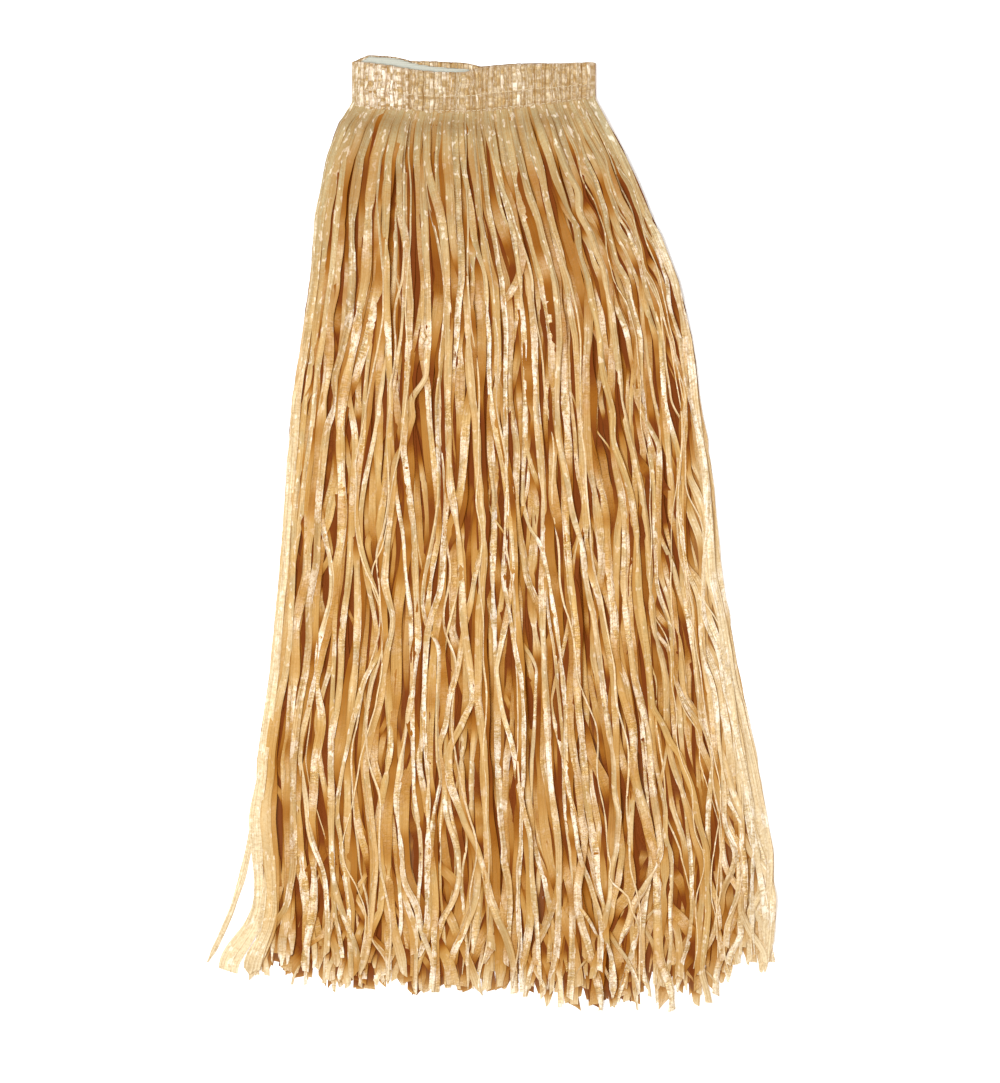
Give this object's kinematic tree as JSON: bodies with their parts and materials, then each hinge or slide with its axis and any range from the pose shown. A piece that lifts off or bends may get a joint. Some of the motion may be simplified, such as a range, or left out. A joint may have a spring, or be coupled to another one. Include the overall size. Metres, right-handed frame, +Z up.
{
  "type": "grass skirt",
  "caption": "Hula skirt of loose straw-coloured raffia strands hanging from a gathered elastic waistband, laid flat with its back underneath.",
  "frame": {"origin": "under the middle of the whole skirt as it lies, on the surface that it lies on", "axes": "+Y from the hem to the waist, +X to the right as seen from above, +Z up from the surface, out of the skirt's front"},
  "size_m": [0.4769, 0.7936, 0.0145],
  "materials": {
    "raffia": "crinkled plastic raffia tape in straw gold, glossy, with pearly glints on its creases",
    "raffia_deep": "the same raffia tape deeper in the pile, shaded to a warm orange straw",
    "elastic": "white knitted elastic tape, matt, with fine ribs along it"
  },
  "bodies": {
    "root": {"waistband_front": "raffia", "waistband_back": "raffia", "elastic_front": "elastic", "elastic_back": "elastic", "fringe_front_outer": "raffia", "fringe_front_middle": "raffia", "fringe_front_inner": "raffia_deep", "fringe_back_inner": "raffia_deep", "fringe_back_middle": "raffia", "fringe_back_outer": "raffia"}
  },
  "joints": []
}
